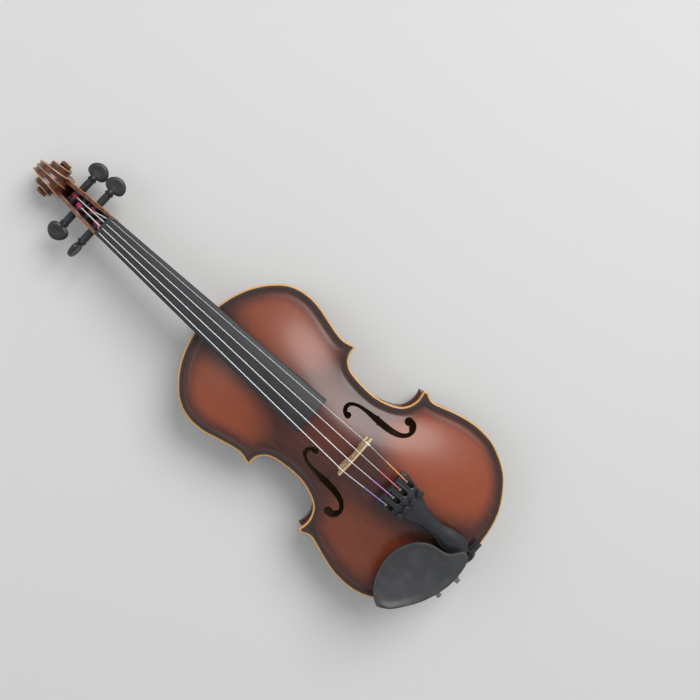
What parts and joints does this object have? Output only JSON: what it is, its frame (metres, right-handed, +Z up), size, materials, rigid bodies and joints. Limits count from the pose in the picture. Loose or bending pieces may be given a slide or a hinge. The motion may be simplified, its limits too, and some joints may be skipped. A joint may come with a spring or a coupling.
{
  "type": "violin",
  "caption": "Full-size violin lying on its back, with turning pegs, a tailpiece with built-in fine tuners, bridge, strings and a side chinrest.",
  "frame": {"origin": "under the middle of the violin's bounding box, on the surface it lies on", "axes": "+Z up from the back to the strings, +Y from the tail to the scroll, +X towards the thin-string side"},
  "size_m": [0.203, 0.5818, 0.0954],
  "materials": {
    "varnished_spruce": "glossy red-brown varnish over straight-grained softwood",
    "varnished_maple": "glossy red-brown varnish over hardwood",
    "plain_spruce": "bare wood",
    "dyed_inlay": "black inlaid strip",
    "black_hardwood": "oiled black hardwood",
    "black_composite": "matte black",
    "nylon_cord": "matte black cord",
    "steel": "bright steel",
    "bridge_maple": "bare pale maple",
    "clear_sleeve": "whitish sleeve",
    "cork": "bare cork",
    "nickel_steel": "nickel plated",
    "string_wire": "wound metal string, silk at its ends",
    "string_silk": "coloured silk wrapping",
    "peg_black": "matte black wood",
    "brass_ball": "brass"
  },
  "bodies": {
    "violin": {"belly": "varnished_spruce", "back": "varnished_maple", "neck_block": "plain_spruce", "end_block": "plain_spruce", "corner_blocks": "plain_spruce", "belly_linings": "plain_spruce", "back_linings": "plain_spruce", "bass_bar": "plain_spruce", "sound_post": "plain_spruce", "purfling": "dyed_inlay", "neck": "varnished_maple", "fingerboard": "black_hardwood", "nut": "black_hardwood", "saddle": "black_hardwood", "end_button": "black_hardwood", "tailpiece": "black_composite", "tail_gut": "nylon_cord", "lever_pins": "steel", "bridge": "bridge_maple", "string_sleeve_e": "clear_sleeve", "chinrest_plate": "black_composite", "chinrest_belly_cork": "cork", "chinrest_back_cork": "cork", "chinrest_upper_clamp": "nickel_steel", "chinrest_lower_clamp": "nickel_steel", "chinrest_barrels": "nickel_steel", "lower_rib_treble": "varnished_maple", "lower_rib_bass": "varnished_maple", "waist_rib_treble": "varnished_maple", "waist_rib_bass": "varnished_maple", "upper_rib_treble": "varnished_maple", "upper_rib_bass": "varnished_maple", "string_g": "string_wire", "string_d": "string_wire", "string_a": "string_wire", "string_e": "string_wire"},
    "peg_g": {"peg_g": "peg_black", "peg_coil_g": "string_silk"},
    "peg_d": {"peg_d": "peg_black", "peg_coil_d": "string_silk"},
    "peg_a": {"peg_a": "peg_black", "peg_coil_a": "string_silk"},
    "peg_e": {"peg_e": "peg_black", "peg_coil_e": "string_silk"},
    "tuner_screw_g": {"tuner_screw_g": "steel"},
    "tuner_knob_g": {"tuner_knob_g": "black_composite"},
    "tuner_lever_g": {"tuner_lever_g": "black_composite", "string_ball_g": "brass_ball"},
    "tuner_screw_d": {"tuner_screw_d": "steel"},
    "tuner_knob_d": {"tuner_knob_d": "black_composite"},
    "tuner_lever_d": {"tuner_lever_d": "black_composite", "string_ball_d": "brass_ball"},
    "tuner_screw_a": {"tuner_screw_a": "steel"},
    "tuner_knob_a": {"tuner_knob_a": "black_composite"},
    "tuner_lever_a": {"tuner_lever_a": "black_composite", "string_ball_a": "brass_ball"},
    "tuner_screw_e": {"tuner_screw_e": "steel"},
    "tuner_knob_e": {"tuner_knob_e": "black_composite"},
    "tuner_lever_e": {"tuner_lever_e": "black_composite", "string_ball_e": "brass_ball"}
  },
  "joints": [
    {"name": "peg_turn_g", "type": "hinge", "parent": "violin", "child": "peg_g", "pos_m": [0, 0.20494, 0.03678], "axis": [1, 0, 0], "continuous": true},
    {"name": "peg_turn_d", "type": "hinge", "parent": "violin", "child": "peg_d", "pos_m": [0, 0.23069, 0.03008], "axis": [1, 0, 0], "continuous": true},
    {"name": "peg_turn_a", "type": "hinge", "parent": "violin", "child": "peg_a", "pos_m": [0, 0.24086, 0.0265], "axis": [1, 0, 0], "continuous": true},
    {"name": "peg_turn_e", "type": "hinge", "parent": "violin", "child": "peg_e", "pos_m": [0, 0.21772, 0.03368], "axis": [1, 0, 0], "continuous": true},
    {"name": "screw_travel_g", "type": "slide", "parent": "violin", "child": "tuner_screw_g", "axis": [0, -0.1405, 0.9901], "range_m": [-0.00119, 0.00119]},
    {"name": "knob_turn_g", "type": "hinge", "parent": "tuner_screw_g", "child": "tuner_knob_g", "pos_m": [-0.01485, -0.19807, 0.0782], "axis": [0, -0.1405, 0.9901], "range_deg": [-720, 720]},
    {"name": "lever_tilt_g", "type": "hinge", "parent": "violin", "child": "tuner_lever_g", "pos_m": [-0.01485, -0.1788, 0.07336], "axis": [1, 0, 0], "range_deg": [-4, 4]},
    {"name": "screw_travel_d", "type": "slide", "parent": "violin", "child": "tuner_screw_d", "axis": [0, -0.1405, 0.9901], "range_m": [-0.00119, 0.00119]},
    {"name": "knob_turn_d", "type": "hinge", "parent": "tuner_screw_d", "child": "tuner_knob_d", "pos_m": [-0.00495, -0.1983, 0.07982], "axis": [0, -0.1405, 0.9901], "range_deg": [-720, 720]},
    {"name": "lever_tilt_d", "type": "hinge", "parent": "violin", "child": "tuner_lever_d", "pos_m": [-0.00495, -0.17903, 0.07498], "axis": [1, 0, 0], "range_deg": [-4, 4]},
    {"name": "screw_travel_a", "type": "slide", "parent": "violin", "child": "tuner_screw_a", "axis": [0, -0.1405, 0.9901], "range_m": [-0.00119, 0.00119]},
    {"name": "knob_turn_a", "type": "hinge", "parent": "tuner_screw_a", "child": "tuner_knob_a", "pos_m": [0.00495, -0.1983, 0.07982], "axis": [0, -0.1405, 0.9901], "range_deg": [-720, 720]},
    {"name": "lever_tilt_a", "type": "hinge", "parent": "violin", "child": "tuner_lever_a", "pos_m": [0.00495, -0.17903, 0.07498], "axis": [1, 0, 0], "range_deg": [-4, 4]},
    {"name": "screw_travel_e", "type": "slide", "parent": "violin", "child": "tuner_screw_e", "axis": [0, -0.1405, 0.9901], "range_m": [-0.00119, 0.00119]},
    {"name": "knob_turn_e", "type": "hinge", "parent": "tuner_screw_e", "child": "tuner_knob_e", "pos_m": [0.01485, -0.19807, 0.0782], "axis": [0, -0.1405, 0.9901], "range_deg": [-720, 720]},
    {"name": "lever_tilt_e", "type": "hinge", "parent": "violin", "child": "tuner_lever_e", "pos_m": [0.01485, -0.1788, 0.07336], "axis": [1, 0, 0], "range_deg": [-4, 4]}
  ],
  "couplings": [
    {"joint": "knob_turn_g", "follows": "screw_travel_g", "rad_per_m": 10472},
    {"joint": "lever_tilt_g", "follows": "screw_travel_g", "rad_per_m": -54.348},
    {"joint": "knob_turn_d", "follows": "screw_travel_d", "rad_per_m": 10472},
    {"joint": "lever_tilt_d", "follows": "screw_travel_d", "rad_per_m": -54.348},
    {"joint": "knob_turn_a", "follows": "screw_travel_a", "rad_per_m": 10472},
    {"joint": "lever_tilt_a", "follows": "screw_travel_a", "rad_per_m": -54.348},
    {"joint": "knob_turn_e", "follows": "screw_travel_e", "rad_per_m": 10472},
    {"joint": "lever_tilt_e", "follows": "screw_travel_e", "rad_per_m": -54.348}
  ]
}
